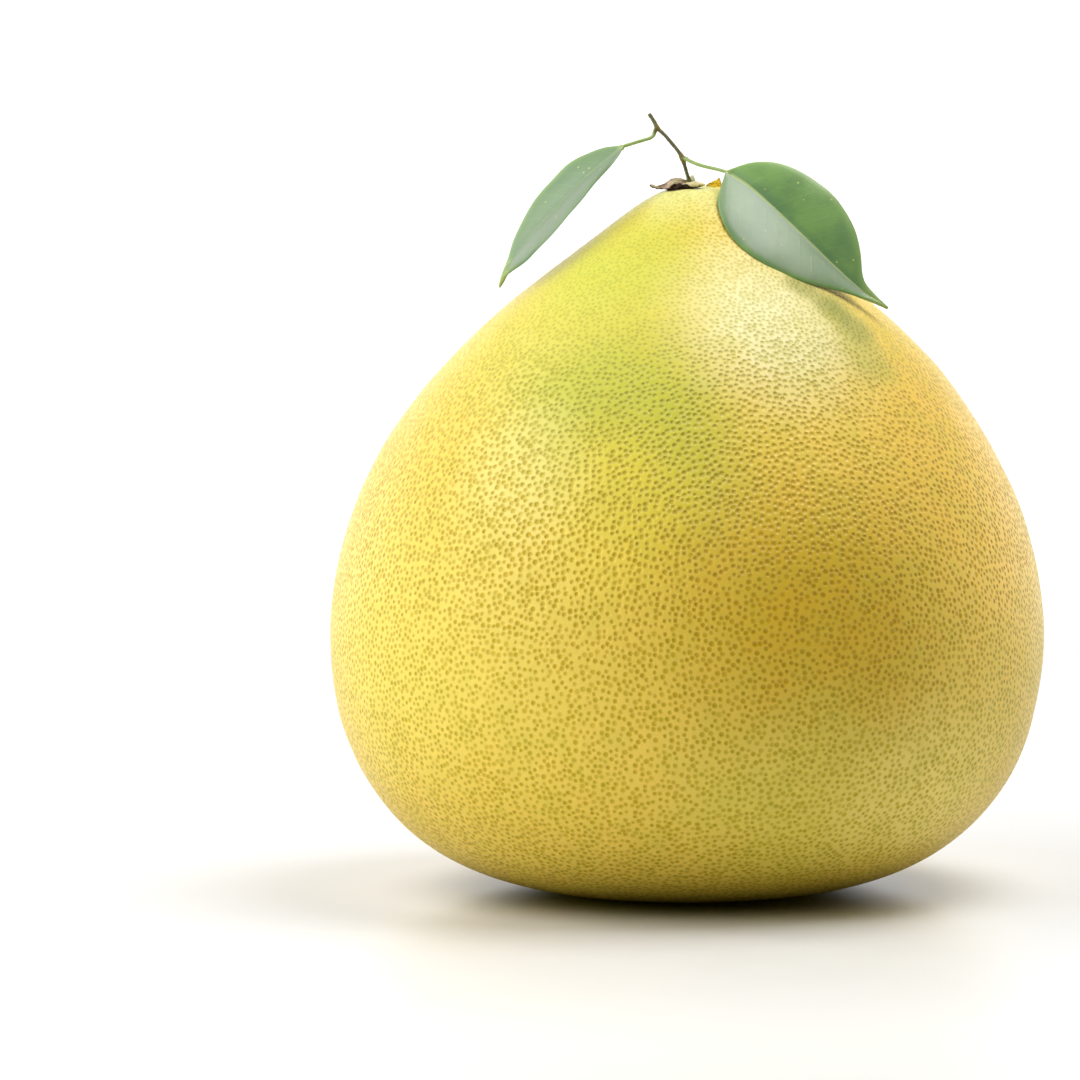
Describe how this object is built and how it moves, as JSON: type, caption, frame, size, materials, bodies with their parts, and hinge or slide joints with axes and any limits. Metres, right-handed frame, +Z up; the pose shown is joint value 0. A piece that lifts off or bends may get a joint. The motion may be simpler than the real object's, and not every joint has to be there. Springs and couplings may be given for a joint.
{
  "type": "pomelo with twig and leaves",
  "caption": "Pear-shaped yellow-green pomelo with pitted skin, a dried calyx, a short forked twig and glossy drip-tipped leaves; stands on a small flat spot.",
  "frame": {"origin": "centre of the small flat spot under the fruit, level with the surface the fruit rests on", "axes": "+Z up the fruit from the flat spot to the crown; +X to the side of the larger leaf, which lies over the shoulder; +Y away from the side the leaf's face is turned to"},
  "size_m": [0.1712, 0.1691, 0.1867],
  "materials": {
    "peel": "waxy citrus peel, satin sheen, dotted with small olive-green oil glands in shallow pits, yellow with greener and golden areas",
    "dry_husk": "dry, corky, tan",
    "papery_brown": "dry, papery, shrivelled, tan to dark brown",
    "golden_husk": "dry, papery, golden brown",
    "bud_green": "soft, matt, pale green",
    "bark": "smooth thin bark, olive brown, matt",
    "leaf_green": "glossy leathery leaf, mid to dark green with a pale midrib and stalk, duller underneath"
  },
  "bodies": {
    "root": {"fruit": "peel", "calyx": "dry_husk", "sepal_left": "papery_brown", "sepal_right": "golden_husk", "bud": "bud_green", "twig": "bark", "leaf_left": "leaf_green", "leaf_right": "leaf_green"}
  },
  "joints": []
}
